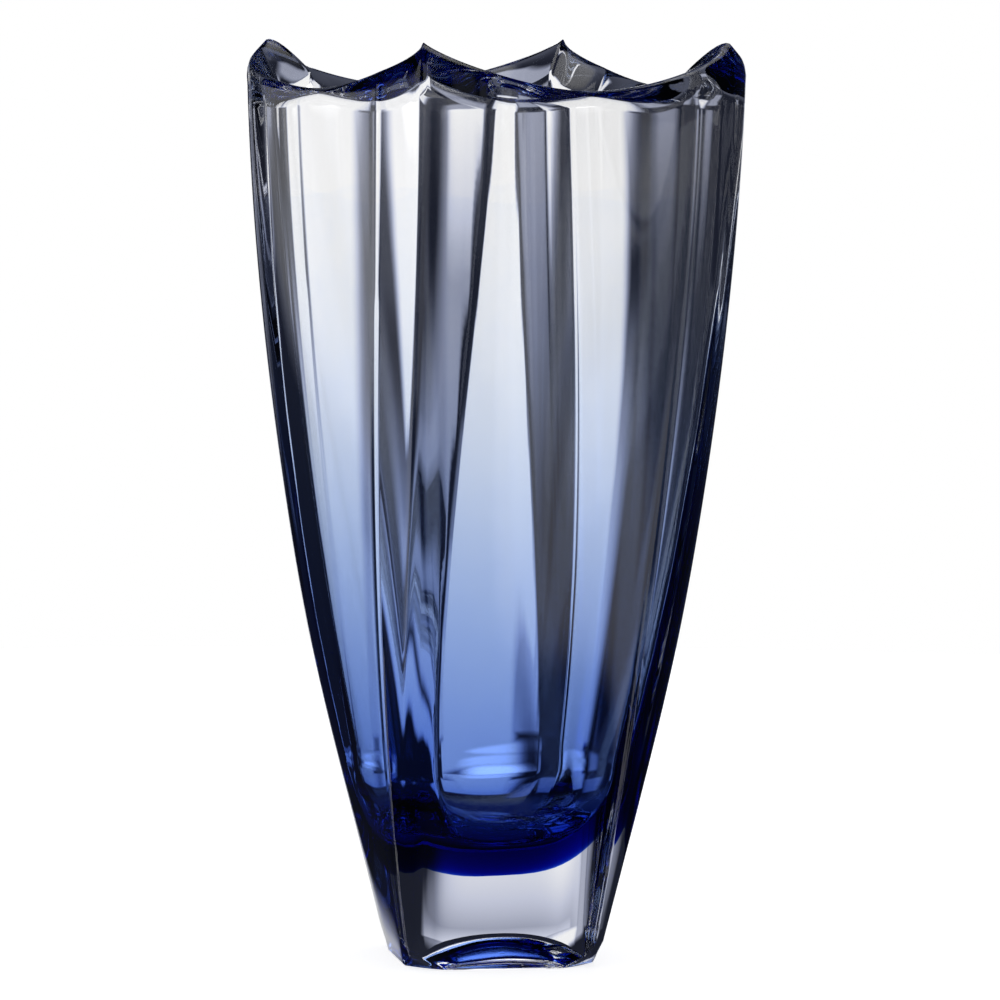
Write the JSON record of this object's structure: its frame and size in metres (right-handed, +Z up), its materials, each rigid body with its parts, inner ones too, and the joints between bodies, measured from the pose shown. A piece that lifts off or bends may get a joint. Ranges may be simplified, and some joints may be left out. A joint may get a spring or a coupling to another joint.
{
  "type": "cut crystal vase",
  "caption": "Tall flared square vase in thick clear crystal, with twisting ridged corners, flat panels, a scalloped rim and a blue inner casing that fades upwards.",
  "frame": {"origin": "point on the vase's axis at the height of the surface it stands on", "axes": "+Z up along the axis; the sides of the square foot run along X and Y, and the front faces -Y"},
  "size_m": [0.134, 0.134, 0.254],
  "materials": {
    "crystal": "clear lead crystal, cut and polished",
    "sapphire": "clear blue casing glass, polished"
  },
  "bodies": {
    "root": {"crystal_body": "crystal", "sapphire_lining": "sapphire"}
  },
  "joints": []
}
